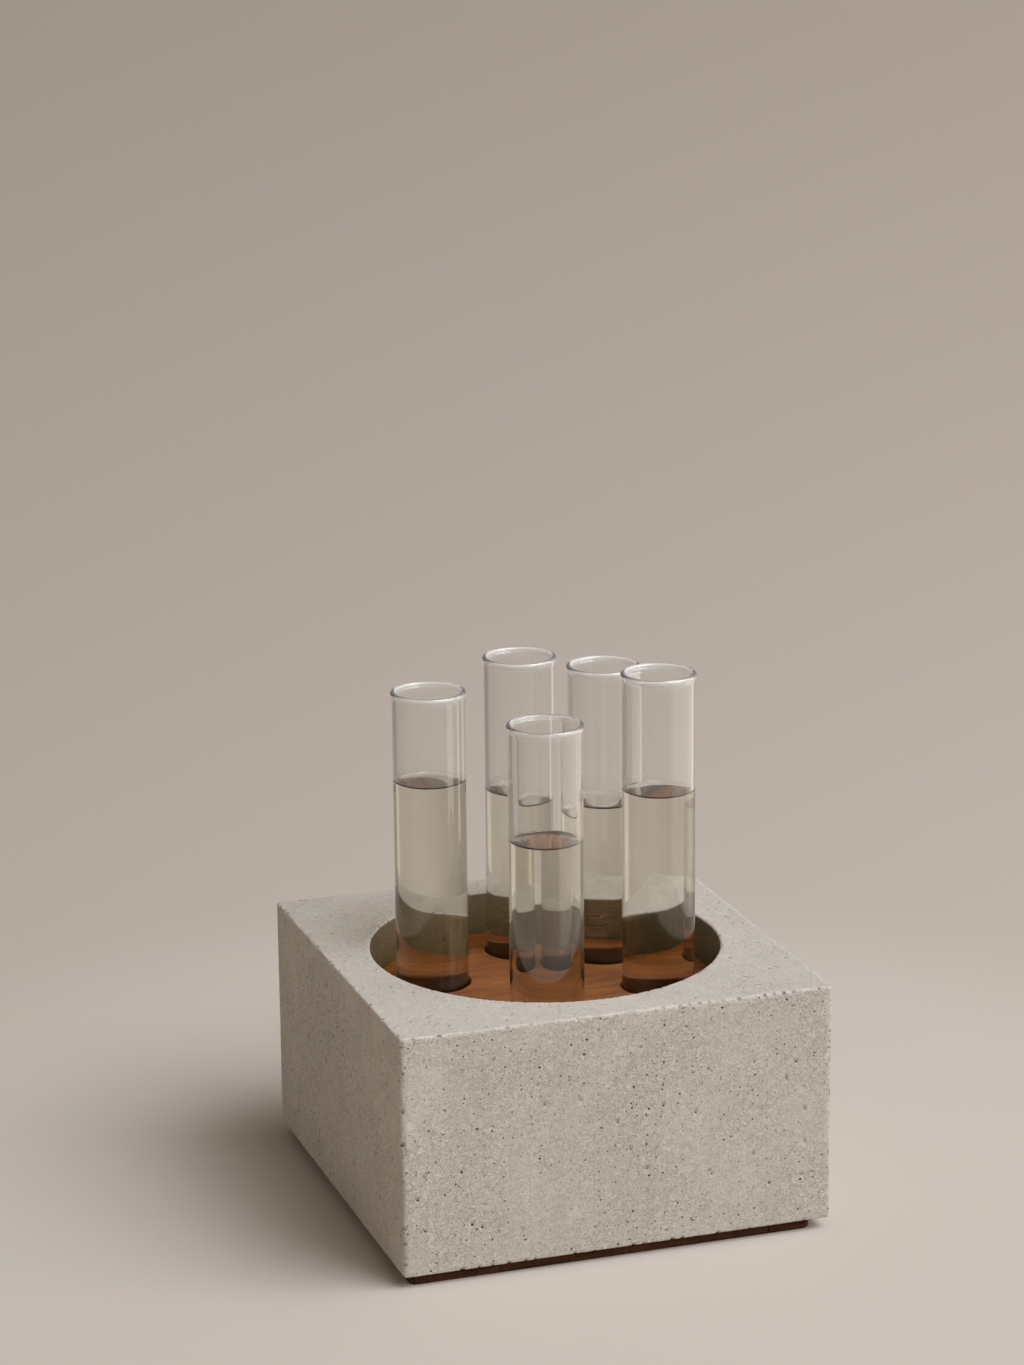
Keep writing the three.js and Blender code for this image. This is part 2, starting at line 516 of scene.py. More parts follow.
def new_material(name):
    """A material with an empty Principled shader, its node tree and that shader."""
    material = bpy.data.materials.new(name)
    material.use_nodes = True
    tree = material.node_tree
    tree.nodes.clear()
    shader = add(tree, "ShaderNodeBsdfPrincipled")
    add(tree, "ShaderNodeOutputMaterial", {"Surface": shader.outputs[0]})
    return material, tree, shader


def feed(tree, shader, **inputs):
    """Sets or links the shader's inputs. An underscore stands for a space."""
    for name, value in inputs.items():
        put(tree, shader.inputs[name.replace("_", " ")], value)


def show_instead(tree, surface):
    """Gives the material another surface than its Principled shader."""
    output = next(n for n in tree.nodes if n.type == "OUTPUT_MATERIAL")
    tree.links.new(surface, output.inputs["Surface"])


# Concrete

def pits(tree, vector, cell, share, low, high):
    """Round pits in some of the cells of a Voronoi texture, 1 in a pit and 0 outside, sizes in metres."""
    inputs = {"Vector": vector, "Scale": 1 / cell}
    texture = add(tree, "ShaderNodeTexVoronoi", inputs, voronoi_dimensions="2D").outputs
    chance = add(tree, "ShaderNodeSeparateColor", {"Color": texture["Color"]}).outputs[0]
    radius = remap(tree, chance, 1 - share, 1.0, low / cell, high / cell)
    inner = calc(tree, "MULTIPLY", radius, PIT_CORE)
    inside = remap(tree, texture["Distance"], inner, radius, 1.0, 0.0, smooth=True)
    return calc(tree, "MULTIPLY", inside, calc(tree, "GREATER_THAN", chance, 1 - share))


def face_place(tree, place, normal):
    """Two coordinates in the plane of the face: X and Y on a level face, X or Y and Z on an upright one. Each
    face has its own stretch of the pattern."""
    x, y, z = parts(tree, place)
    facing = [calc(tree, "ROUND", part) for part in parts(tree, normal)]
    to_x, _, to_z = [calc(tree, "ABSOLUTE", part) for part in facing]
    across = calc(tree, "ADD", x, calc(tree, "MULTIPLY", to_x, calc(tree, "SUBTRACT", y, x)))
    upward = calc(tree, "ADD", z, calc(tree, "MULTIPLY", to_z, calc(tree, "SUBTRACT", y, z)))
    for part, shift in zip(facing, FACE_SHIFTS):
        across = calc(tree, "ADD", across, calc(tree, "MULTIPLY", part, shift))
    return add(tree, "ShaderNodeCombineXYZ", {0: across, 1: upward}).outputs[0]


def concrete_pits(tree, place, flat, top):
    """All the pits, 1 in a pit and 0 outside. They are fainter in patches, and on the top."""
    small = calc(tree, "MULTIPLY", pits(tree, flat, *SMALL_PITS), SMALL_PIT_DARKNESS)
    larger = calc(tree, "MAXIMUM", pits(tree, flat, *LARGE_PITS), pits(tree, flat, *MEDIUM_PITS))
    on_top = remap(tree, top, 0.0, 1.0, 1.0, PITS_ON_TOP)
    patches = remap(tree, noise_at(tree, place, PATCH_SCALE), *PIT_PATCHES)
    return product(tree, [calc(tree, "MAXIMUM", larger, small), on_top, patches])


def concrete_lines(tree, place, top):
    """The factor of tone of the squiggly lines. They are fainter in patches, and on the top."""
    from_middle = calc(tree, "SUBTRACT", noise_at(tree, place, *LINE_NOISE), LINE_MIDDLE)

    def line(shift):
        """How strong a line is that lies where the noise is the given shift below its middle."""
        away = calc(tree, "ABSOLUTE", calc(tree, "ADD", from_middle, shift))
        return remap(tree, away, 0.0, LINE_WIDTH, LINE_CONTRAST, 0.0)

    lines = calc(tree, "SUBTRACT", line(-LINE_SHIFT), line(LINE_SHIFT))
    patches = remap(tree, noise_at(tree, place, PATCH_SCALE, 3), *LINE_PATCHES)
    on_top = remap(tree, top, 0.0, 1.0, 1.0, LINES_ON_TOP)
    lines = calc(tree, "MULTIPLY", lines, calc(tree, "MULTIPLY", patches, on_top))
    return calc(tree, "ADD", lines, 1.0)


def tone_layer(tree, place, scale, detail, roughness, dark, light):
    """A factor of tone that follows a noise."""
    return remap(tree, noise_at(tree, place, scale, detail, roughness), *LAYER_RANGE, dark, light)


def concrete_material():
    """Cast concrete: faint clouds of tone, streaks down the sides, sandy grain, fine squiggly relief and many
    small air holes, with painted shade inside them. The top is smoother than the sides, the well's wall has
    painted shade, darker and browner near the disc, and the arrises are worn lighter, which also paints a
    highlight along them."""
    material, tree, shader = new_material("concrete")
    coordinates = add(tree, "ShaderNodeTexCoord").outputs
    place = coordinates["Object"]
    x, y, z = parts(tree, place)
    top = calc(tree, "GREATER_THAN", z, BLOCK_TOP - TOP_SKIN)
    from_axis = length(tree, add(tree, "ShaderNodeCombineXYZ", {0: x, 1: y}).outputs[0])
    well = calc(tree, "LESS_THAN", from_axis, WELL_RADIUS + WALL_SKIN)
    well = calc(tree, "MULTIPLY", well, calc(tree, "SUBTRACT", 1.0, top))

    holes = concrete_pits(tree, place, face_place(tree, place, coordinates["Normal"]), top)
    lines = concrete_lines(tree, place, top)
    grain = noise_at(tree, place, *GRAIN_NOISE)
    # The arrises are lighter: partly wear, partly a painted highlight along the edges.
    worn = remap(tree, noise_at(tree, place, WEAR_AND_HIGHLIGHT_SCALE), *WEAR_AND_HIGHLIGHT_TONES)
    worn = calc(tree, "MULTIPLY", attribute(tree, "worn"), worn)
    layers = [
        tone_layer(tree, place, *CLOUDS),
        tone_layer(tree, place, *MOTTLE),
        tone_layer(tree, stretched(tree, place, STREAK_STRETCH), *STREAKS),
        remap(tree, grain, *GRAIN_TONES),
        calc(tree, "ADD", worn, 1.0),
        lines,
    ]

    tint = mix(tree, remap(tree, noise_at(tree, place, TINT_SCALE), *TINT_RANGE), *CONCRETE_TINTS)
    # Painted shade on the well's wall: darker and browner near the disc.
    well_shade = mix(tree, remap(tree, z, DISC_TOP + WELL_SHADE_START, DISC_TOP + WELL_SHADE_END), *WELL_SHADE_TINTS)
    colour = dimmed(tree, mix(tree, well, tint, well_shade), product(tree, layers))
    # Painted shade in the air holes and notches: the pits and the holes in the mesh are darkened towards a
    # near-black colour.
    dark = calc(tree, "MAXIMUM", holes, attribute(tree, "hole_shade"))
    colour = mix(tree, calc(tree, "MULTIPLY", dark, HOLE_SHADE_STRENGTH), colour, HOLE_SHADE_COLOUR)

    relief = calc(tree, "MULTIPLY", calc(tree, "SUBTRACT", lines, 1.0), LINE_RELIEF)
    relief = calc(tree, "ADD", relief, calc(tree, "MULTIPLY", grain, GRAIN_RELIEF))
    relief = calc(tree, "SUBTRACT", relief, calc(tree, "MULTIPLY", holes, PIT_RELIEF))
    normal = bumped(tree, relief, CONCRETE_RELIEF, 1.0)
    feed(tree, shader, Base_Color=colour, Roughness=0.88, Specular_IOR_Level=0.3, Normal=normal)
    return material


# Wood

def wood_colour(tree, grain, second, share, tints):
    """A colour between two tints, by the grain and the given share of a second noise."""
    tone = calc(tree, "MULTIPLY", grain, 1 - share)
    tone = calc(tree, "ADD", tone, calc(tree, "MULTIPLY", second, share))
    return mix(tree, remap(tree, tone, *WOOD_RANGE), *tints)


def disc_material():
    """Oiled reddish wood with fine dark pores and softer bands along its grain, in tints darkened as painted
    shade. Below its top face, as in the holes, it is darker still with painted shade."""
    material, tree, shader = new_material("disc_wood")
    place = add(tree, "ShaderNodeTexCoord").outputs["Object"]
    grain = noise_at(tree, stretched(tree, place, DISC_GRAIN_STRETCH, DISC_NOISE_TURN), 1.0, 4, 0.7)
    bands = noise_at(tree, stretched(tree, place, DISC_BAND_STRETCH, DISC_NOISE_TURN), 1.0, 3)
    pores = noise_at(tree, stretched(tree, place, DISC_PORE_STRETCH, DISC_NOISE_TURN), 1.0)
    height = parts(tree, place)[2]
    # Painted shade below the top face, as in the holes.
    shade_below_top = remap(tree, height, DISC_TOP - 2 * HOLE_EDGE, DISC_TOP - HOLE_EDGE, SHADE_BELOW_TOP, 1.0)
    dark = calc(tree, "MULTIPLY", remap(tree, pores, *PORE_TONES), shade_below_top)
    colour = dimmed(tree, wood_colour(tree, grain, bands, BAND_SHARE, SHADED_DISC_TINTS), dark)
    normal = bumped(tree, calc(tree, "MULTIPLY", grain, pores), DISC_RELIEF, 0.5)
    feed(tree, shader, Base_Color=colour, Roughness=0.5, Specular_IOR_Level=0.28, Normal=normal)
    return material


def plate_material():
    """Dark stained wood, with grain along X on the front and marks of the saw across its edges. A joint
    crosses the plate near its right end."""
    material, tree, shader = new_material("plate_wood")
    place = add(tree, "ShaderNodeTexCoord").outputs["Object"]
    grain = noise_at(tree, stretched(tree, place, PLATE_GRAIN_STRETCH), 1.0, 4, 0.6)
    marks = noise_at(tree, stretched(tree, place, SAW_MARK_STRETCH), 1.0)
    from_joint = calc(tree, "ABSOLUTE", calc(tree, "SUBTRACT", parts(tree, place)[0], JOINT_PLACE))
    joint = remap(tree, from_joint, *JOINT_REACH, JOINT_DARKNESS, 1.0)
    colour = dimmed(tree, wood_colour(tree, grain, marks, SAW_MARK_SHARE, PLATE_TINTS), joint)
    normal = bumped(tree, grain, PLATE_RELIEF, 0.4)
    feed(tree, shader, Base_Color=colour, Roughness=0.7, Specular_IOR_Level=0.15, Normal=normal)
    return material


# Glass and water

def clear_material(name, colour, ior, haze=0.0):
    """Glass or water. A share of the lamp's light goes straight through, so the shadow isn't hard. The melted
    bead of a tube may have a little haze."""
    material, tree, shader = new_material(name)
    feed(tree, shader, Base_Color=colour, Roughness=0.0, IOR=ior, Transmission_Weight=1.0)
    if haze:
        feed(tree, shader, Transmission_Weight=remap(tree, attribute(tree, "bead"), 0.0, 1.0, 1.0, 1 - haze))
    clear = add(tree, "ShaderNodeBsdfTransparent", {"Color": SHADOW_LIGHT})
    path = add(tree, "ShaderNodeLightPath").outputs
    show_instead(tree, mixed_shader(tree, path["Is Shadow Ray"], shader, clear))
    return material


# Stage, lights and camera

def make_camera():
    """The camera at its place, turned by its yaw, pitch and roll."""
    yaw, pitch, roll = (math.radians(a) for a in (CAMERA_YAW, CAMERA_PITCH, CAMERA_ROLL))
    forward = Vector((math.sin(yaw) * math.cos(pitch), math.cos(yaw) * math.cos(pitch), -math.sin(pitch)))
    level = Vector((math.cos(yaw), -math.sin(yaw), 0))
    above = level.cross(forward)
    right = math.cos(roll) * level + math.sin(roll) * above
    up = -math.sin(roll) * level + math.cos(roll) * above
    data = bpy.data.cameras.new("camera")
    data.lens = CAMERA_LENS
    data.sensor_width = CAMERA_SENSOR
    data.clip_start = CAMERA_CLIP
    camera = bpy.data.objects.new("camera", data)
    turn = Matrix((right, up, -forward)).transposed()
    camera.matrix_world = Matrix.Translation(CAMERA_PLACE) @ turn.to_4x4()
    bpy.context.scene.collection.objects.link(camera)
    bpy.context.scene.camera = camera


def make_lights():
    """The key light, which the camera doesn't see."""
    data = bpy.data.lights.new("key", "AREA")
    data.shape = "SQUARE"
    data.size = KEY_SIZE
    data.energy = KEY_POWER
    data.color = KEY_COLOUR
    lamp = bpy.data.objects.new("key", data)
    direction = Vector(KEY_DIRECTION).normalized()
    lamp.location = Vector(KEY_AIM) + direction * KEY_DISTANCE
    lamp.rotation_euler = direction.to_track_quat("Z", "Y").to_euler()
    lamp.visible_camera = False
    bpy.context.scene.collection.objects.link(lamp)


def seen(tree):
    """1 for the rays that show the background: camera, glossy and transmission rays."""
    path = add(tree, "ShaderNodeLightPath").outputs
    plain = calc(tree, "MAXIMUM", path["Is Camera Ray"], path["Is Glossy Ray"])
    return calc(tree, "MAXIMUM", plain, path["Is Transmission Ray"])


def band(tree, value, edges):
    """1 between the two middle edges, falling to 0 at the outer ones."""
    start, full, less, end = edges
    rising = remap(tree, value, start, full)
    return calc(tree, "MULTIPLY", rising, remap(tree, value, less, end, 1.0, 0.0))


def room_gain(tree, azimuth):
    """How bright the room is. The camera sees it evenly, and what is reflected shows two walls more."""
    path = add(tree, "ShaderNodeLightPath").outputs
    most = max(ROOM_STOPS.values())
    greys = {angle: (gain / most, gain / most, gain / most, 1) for angle, gain in ROOM_STOPS.items()}
    room = calc(tree, "MULTIPLY", colour_ramp(tree, azimuth, greys, -180, 180), most)
    to_even = calc(tree, "MULTIPLY", path["Is Camera Ray"], calc(tree, "SUBTRACT", 1.0, room))
    room = calc(tree, "ADD", room, to_even)
    pale = calc(tree, "MULTIPLY", band(tree, azimuth, PALE_WALL_EDGES), PALE_WALL_GAIN)
    dark = calc(tree, "MULTIPLY", band(tree, azimuth, DARK_WALL_EDGES), DARK_WALL_LOSS)
    # A ray that glass refracts counts as glossy too, so those are taken out.
    reflected = calc(tree, "SUBTRACT", path["Is Glossy Ray"], path["Is Transmission Ray"], clamp=True)
    walls = calc(tree, "MULTIPLY", calc(tree, "SUBTRACT", pale, dark), reflected)
    return calc(tree, "ADD", room, walls)


def make_world():
    """A soft warm fill, and what shows behind the object and in the glass: a backdrop that darkens up to the
    horizon, the ceiling above it and the room's walls."""
    world = bpy.data.worlds.new("world")
    bpy.context.scene.world = world
    world.use_nodes = True
    tree = world.node_tree
    tree.nodes.clear()
    x, y, z = parts(tree, add(tree, "ShaderNodeTexCoord").outputs["Generated"])
    azimuth = calc(tree, "MULTIPLY", calc(tree, "ARCTAN2", x, y), 180 / math.pi)
    colour = colour_ramp(tree, z, BACKDROP_STOPS, -1.0, 1.0)
    front_right = calc(tree, "MULTIPLY", calc(tree, "SUBTRACT", x, y), math.sqrt(0.5))
    gain = remap(tree, front_right, *BACK_LEFT_EDGES, *BACK_LEFT_GAINS)
    gain = calc(tree, "MULTIPLY", gain, room_gain(tree, azimuth))
    backdrop = add(tree, "ShaderNodeBackground", {"Color": colour, "Strength": gain})
    fill_gain = remap(tree, z, 0.0, FILL_TOP, FILL_LOW, FILL_HIGH)
    fill = add(tree, "ShaderNodeBackground", {"Color": FILL_COLOUR, "Strength": fill_gain})
    add(tree, "ShaderNodeOutputWorld", {"Surface": mixed_shader(tree, seen(tree), fill, backdrop)})


def make_floor():
    """A pale floor that takes the shadow. Far from the object it gives way to the backdrop."""
    material, tree, shader = new_material("floor")
    feed(tree, shader, Base_Color=FLOOR_COLOUR, Roughness=1.0, Specular_IOR_Level=0.0)
    distance = length(tree, add(tree, "ShaderNodeTexCoord").outputs["Object"])
    fade = remap(tree, distance, FADE_START, FADE_END, smooth=True)
    clear = add(tree, "ShaderNodeBsdfTransparent")
    show_instead(tree, mixed_shader(tree, calc(tree, "MULTIPLY", fade, seen(tree)), shader, clear))
    half = FLOOR_HALF
    corners = [(-half, -half, 0), (half, -half, 0), (half, half, 0), (-half, half, 0)]
    floor = make_object("floor", corners, [(0, 1, 2, 3)], material)


# Concrete block

class Row(NamedTuple):
    """A row of points round the block: a circle, a square, or the given share of a square between them."""
    height: float
    radius: float = 0.0
    half: float = 0.0
    square: float = 0.0
    worn: float = 0.0


def square_outline(half, corner, side_steps, corner_steps):
    """A closed square outline with round corners, evenly stepped, counter-clockwise."""
    inner = half - corner
    points = []
    for quarter in range(4):
        round_part = arc(inner, inner, corner, 0, 90, corner_steps)
        straight = [(inner - 2 * inner * k / side_steps, half) for k in range(1, side_steps)]
        c, s = round(math.cos(quarter * math.pi / 2)), round(math.sin(quarter * math.pi / 2))
        points += [(x * c - y * s, x * s + y * c) for x, y in round_part + straight]
    return np.array(points)


def eased(count, closer=0.6):
    """Shares from 0 to 1 without the ends, closer together near the ends."""
    t = np.linspace(0, 1, count + 2)[1:-1]
    return t - closer * np.sin(2 * math.pi * t) / (2 * math.pi)


def well_rows(top):
    """The rows of the well, from its floor up to its mouth."""
    floor_radius = LOWER_RADIUS - CORE_TAPER
    fillet_top = WELL_FLOOR + FLOOR_FILLET
    wall_top = top - MOUTH_RADIUS
    rows = [Row(WELL_FLOOR, floor_radius * share) for share in FLOOR_SHARES]
    fillet = arc(floor_radius - FLOOR_FILLET, fillet_top, FLOOR_FILLET, -90, 0, FILLET_STEPS)
    rows += [Row(height, radius) for radius, height in fillet]
    for share in np.linspace(1 / LOWER_WELL_ROWS, 1, LOWER_WELL_ROWS):
        height = fillet_top + (LEDGE_HEIGHT - fillet_top) * share
        rows.append(Row(height, floor_radius + CORE_TAPER * share))
    for share in LEDGE_SHARES:
        rows.append(Row(LEDGE_HEIGHT, LOWER_RADIUS + (WELL_RADIUS - LOWER_RADIUS) * share))
    for share in eased(WELL_ROWS):
        rows.append(Row(LEDGE_HEIGHT + (wall_top - LEDGE_HEIGHT) * share, WELL_RADIUS))
    mouth = arc(WELL_RADIUS + MOUTH_RADIUS, wall_top, MOUTH_RADIUS, 180, 90, EDGE_STEPS)
    return rows + [Row(height, radius, worn=MOUTH_WEAR) for radius, height in mouth]


def block_rows(half, bottom, top):
    """The rows of the block's surface, from the well's floor over the top to the underside."""
    mouth = WELL_RADIUS + MOUTH_RADIUS
    inner = half - EDGE_RADIUS
    high, deep = top - EDGE_RADIUS, bottom + EDGE_RADIUS
    upper_edge = arc(inner, high, EDGE_RADIUS, 90, 0, EDGE_STEPS)
    lower_edge = arc(inner, deep, EDGE_RADIUS, 0, -90, EDGE_STEPS)
    rows = well_rows(top)
    rows += [Row(top, mouth, inner, share) for share in eased(TOP_ROWS, TOP_EASE)]
    rows += [Row(height, 0, reach, 1, 1) for reach, height in upper_edge]
    rows += [Row(high + (deep - high) * share, 0, half, 1) for share in eased(SIDE_ROWS)]
    rows += [Row(height, 0, reach, 1, 1) for reach, height in lower_edge]
    rows += [Row(bottom, 0, inner * share, 1) for share in UNDERSIDE_SHARES]
    return rows


def row_points(row, outline, full_half):
    """A row's points: the square outline drawn in to the row's half side, a circle, or a share of both."""
    angles = np.arctan2(outline[:, 1], outline[:, 0])
    circle = row.radius * np.column_stack([np.cos(angles), np.sin(angles)])
    corner = max(CORNER_RADIUS - (full_half - row.half), LEAST_CORNER_RADIUS)
    straight_to = full_half - CORNER_RADIUS
    reach = np.sign(outline) * np.maximum(np.abs(outline) - straight_to, 0)
    straight = np.clip(outline, -straight_to, straight_to) * (row.half - corner) / straight_to
    square = straight + reach * corner / CORNER_RADIUS
    flat = circle * (1 - row.square) + square * row.square
    return np.column_stack([flat, np.full(len(outline), row.height)])


def worn_shares(rows, outline, full_half):
    """How worn each grid point is, from 0 on a face to 1 on an outer edge."""
    edge_rows = np.array([row.worn for row in rows], float)
    nearest = np.min(np.abs(outline), axis=1)
    corner = (nearest > full_half - CORNER_RADIUS).astype(float)
    sides = np.array([row.square == 1 for row in rows], float)
    return np.maximum(edge_rows[:, None], sides[:, None] * corner[None, :])


def unevenness(place, depth, scale):
    """A depth from 0 to twice the given one, by a noise."""
    return depth * (1 + noise.noise(place * scale))


def wear(grid, rows, worn):
    """Moves the surface inwards: a slight unevenness all over, and a ragged line along the edges."""
    along = np.roll(grid, -1, axis=1) - np.roll(grid, 1, axis=1)
    across = np.gradient(grid, axis=0)
    normals = np.cross(across, along)
    normals /= np.maximum(np.linalg.norm(normals, axis=2, keepdims=True), 1e-12)
    depth = np.zeros(grid.shape[:2])
    chip_depth, chip_scale = CHIPS
    for i, k in np.ndindex(*depth.shape):
        place = Vector(grid[i, k])
        depth[i, k] = sum(unevenness(place, *layer) for layer in UNEVEN_FACES)
        if worn[i, k] > 0:
            chip = chip_depth * max(0.0, noise.noise(place * chip_scale) - CHIP_START)
            depth[i, k] += worn[i, k] * (unevenness(place, *RAGGED_EDGES) + chip)
    moved = grid - normals * depth[:, :, None]
    flat_rows = [i for i, row in enumerate(rows) if row.height <= WELL_FLOOR and row.square == 0]
    moved[flat_rows] = grid[flat_rows]
    return moved


def crater_candidates(rows, near_corner, random_source):
    """Places for air holes, on the faces that show and away from their edges."""
    worn = [row.worn for row in rows]
    margin = FACE_MARGIN_ROWS
    faces = [
        i
        for i, row in enumerate(rows)
        if (row.height > LEDGE_HEIGHT or row.square == 1) and not any(worn[i - margin : i + margin + 1])
    ]
    found = []
    for _ in range(CRATERS * TRIES):
        k = random_source.randrange(len(near_corner))
        if not near_corner[k]:
            found.append((random_source.choice(faces), k, *CRATER_PATCH))
    return found


def notch_candidates(rows, near_corner, full_half, random_source):
    """Places for notches, in clumps along the middles of the level and the upright edges."""
    count = len(near_corner)
    worn = [row.worn for row in rows]
    margin = UPRIGHT_MARGIN_ROWS
    level = [i + EDGE_STEPS // 2 for i in range(1, len(rows)) if worn[i] and not worn[i - 1]]
    upright = [
        i
        for i, row in enumerate(rows)
        if row.square == 1 and row.half == full_half and not any(worn[i - margin : i + margin + 1])
    ]
    corners = [quarter * (count // 4) + CORNER_STEPS // 2 for quarter in range(4)]
    found = []
    for _ in range(NOTCHES * TRIES):
        if random_source.random() < LEVEL_NOTCH_SHARE:
            i, k = random_source.choice(level), random_source.randrange(count)
            if not near_corner[k] and noise.noise(Vector((k * LEVEL_CLUMPS, i, 0.5))) > 0.0:
                found.append((i, k, *LEVEL_NOTCH_PATCH))
        else:
            i, k = random_source.choice(upright), random_source.choice(corners)
            if noise.noise(Vector((i * UPRIGHT_CLUMPS, k, 0.5))) > 0.0:
                found.append((i, k, *UPRIGHT_NOTCH_PATCH))
    return found


def hole_places(rows, outline, full_half, random_source):
    """Grid places for air holes in the faces and for notches along the edges, each with the rows and the
    steps that its patch of grid reaches each way. No two patches meet."""
    count = len(outline)
    near_corner = np.min(np.abs(outline), axis=1) > full_half - CORNER_RADIUS - CORNER_MARGIN
    craters = crater_candidates(rows, near_corner, random_source)
    notches = notch_candidates(rows, near_corner, full_half, random_source)
    taken, places = set(), []
    for limit, candidates in ((NOTCHES, notches), (CRATERS, craters)):
        found = 0
        for i, k, a, b in candidates:
            patch = {
                (i + di, (k + dk) % count)
                for di in range(-a, a + 1)
                for dk in range(-b, b + 1)
            }
            if found < limit and not patch & taken:
                taken |= patch
                places.append((i, k, a, b))
                found += 1
    return places


def add_hole(vertices, faces, hole_shade, count, place, random_source):
    """Fills a patch that was left out of the grid with an uneven round hole: rim, wall and bottom, each with
    its share of painted shade.
    """
    i, k, a, b = place
    loop = [(-a, dk) for dk in range(-b, b)] + [(di, b) for di in range(-a, a)]
    loop += [(a, dk) for dk in range(b, -b, -1)] + [(di, -b) for di in range(a, -a, -1)]
    outer = [(i + di) * count + (k + dk) % count for di, dk in loop]
    middle = i * count + k
    centre = vertices[middle]
    spokes = [vertices[n] - centre for n in outer]
    room = min(np.linalg.norm(spoke) for spoke in spokes)
    size = len(outer)
    inward = sum(np.cross(spokes[j], spokes[(j + size // 4) % size]) for j in range(size))
    inward /= np.linalg.norm(inward)
    if max(a, b) > 1:
        wide = random_source.uniform(*NOTCH_RADII)
        depths, hole_shade_share = NOTCH_DEPTHS, NOTCH_SHADE
    else:
        wide = LEAST_CRATER_RADIUS + CRATER_RADIUS_RANGE * random_source.random() ** 2
        depths, hole_shade_share = CRATER_DEPTHS, 1.0
    radius = min(room * LARGEST_REACH, wide)
    depth = radius * random_source.uniform(*depths)
    uneven = [random_source.uniform(*UNEVEN_RIM) for _ in range(size)]
    previous = outer
    # The third number of each ring is its share of the hole's painted shade.
    for reach, sink, dark in HOLE_RINGS:
        start = len(vertices)
        for spoke, stretch in zip(spokes, uneven):
            share = radius * reach * stretch / np.linalg.norm(spoke)
            vertices.append(centre + spoke * min(LARGEST_REACH, share) + inward * depth * sink)
            hole_shade.append(dark * hole_shade_share)
        current = [start + j for j in range(size)]
        for j in range(size):
            n = (j + 1) % size
            faces.append((previous[j], current[j], current[n], previous[n]))
        previous = current
    vertices[middle] = centre + inward * depth * HOLE_BOTTOM
    hole_shade[middle] = hole_shade_share
    faces.extend((previous[j], middle, previous[(j + 1) % size]) for j in range(size))


def block_object(material):
    """The block: a grid of rows round it, worn, with air holes and notches let into it."""
    lo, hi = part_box("concrete_block")
    centre = (lo + hi) / 2
    half = (hi.x - lo.x) / 2
    outline = square_outline(half, CORNER_RADIUS, SIDE_STEPS, CORNER_STEPS)
    rows = block_rows(half, lo.z, hi.z)
    grid = np.array([row_points(row, outline, half) for row in rows])
    worn = worn_shares(rows, outline, half)
    grid = wear(grid, rows, worn) + np.array([centre.x, centre.y, 0])
    count = grid.shape[1]
    vertices = list(grid.reshape(-1, 3))
    hole_shade = [0.0] * len(vertices)
    random_source = random.Random(HOLE_SEED)
    places = hole_places(rows, outline, half, random_source)
    left_out = {
        (i + di, (k + dk) % count)
        for i, k, a, b in places
        for di in range(-a, a)
        for dk in range(-b, b)
    }
    faces = []
    for i in range(len(rows) - 1):
        quads = strip(i * count, (i + 1) * count, count)
        faces += [quad for k, quad in enumerate(quads) if (i, k) not in left_out]
    for place in places:
        add_hole(vertices, faces, hole_shade, count, place, random_source)
    last = (len(rows) - 1) * count
    faces.append(tuple(range(count - 1, -1, -1)))
    faces.append(tuple(range(last, last + count)))
    used = sorted({n for face in faces for n in face})
    number = {n: j for j, n in enumerate(used)}
    faces = [tuple(number[n] for n in face) for face in faces]
    made = make_object("block_body", [vertices[n] for n in used], faces, material)
    worn = np.concatenate([worn.ravel(), np.zeros(len(vertices) - worn.size)])
    # The painted shade of the holes goes to the material as an attribute.
    set_attribute(made, "hole_shade", np.array(hole_shade)[used])
    # The worn share also lightens the edges in the material, as wear and as a painted highlight.
    set_attribute(made, "worn", worn[used])
    return made


# Wooden disc

def rounded_rings(centre, radius, edge, segments, bottom, top, sign):
    """Rings round the disc's rim, or with a sign of -1 round a hole, from the top face to the bottom face."""
    return [
        ring(centre, radius - sign * edge + sign * reach, height, segments)
        for reach, height in edge_profile(0, edge, bottom, top, DISC_EDGE_STEPS)
    ]


def fill_between(vertices, rims, is_top):
    """Triangles of a flat face between its outer rim, the first, and its holes."""
    flat = [i for rim in rims for i in rim]
    local = {vertex: i for i, vertex in enumerate(flat)}
    points = [Vector(vertices[i][:2]) for i in flat]
    edges = []
    for rim in rims:
        edges += [(local[a], local[b]) for a, b in zip(rim, rim[1:] + rim[:1])]
    triangles = delaunay_2d_cdt(points, edges, [], 1, SAME_POINT)[2]
    centres = [sum((points[local[i]] for i in rim), Vector((0, 0))) / len(rim) for rim in rims[1:]]
    radii = [(points[local[rim[0]]] - c).length for rim, c in zip(rims[1:], centres)]
    kept = []
    for triangle in triangles:
        middle = sum((points[i] for i in triangle), Vector((0, 0))) / 3
        if all((middle - c).length > r * INSIDE_HOLE for c, r in zip(centres, radii)):
            corners = [flat[i] for i in triangle]
            kept.append(tuple(corners if is_top else reversed(corners)))
    return kept


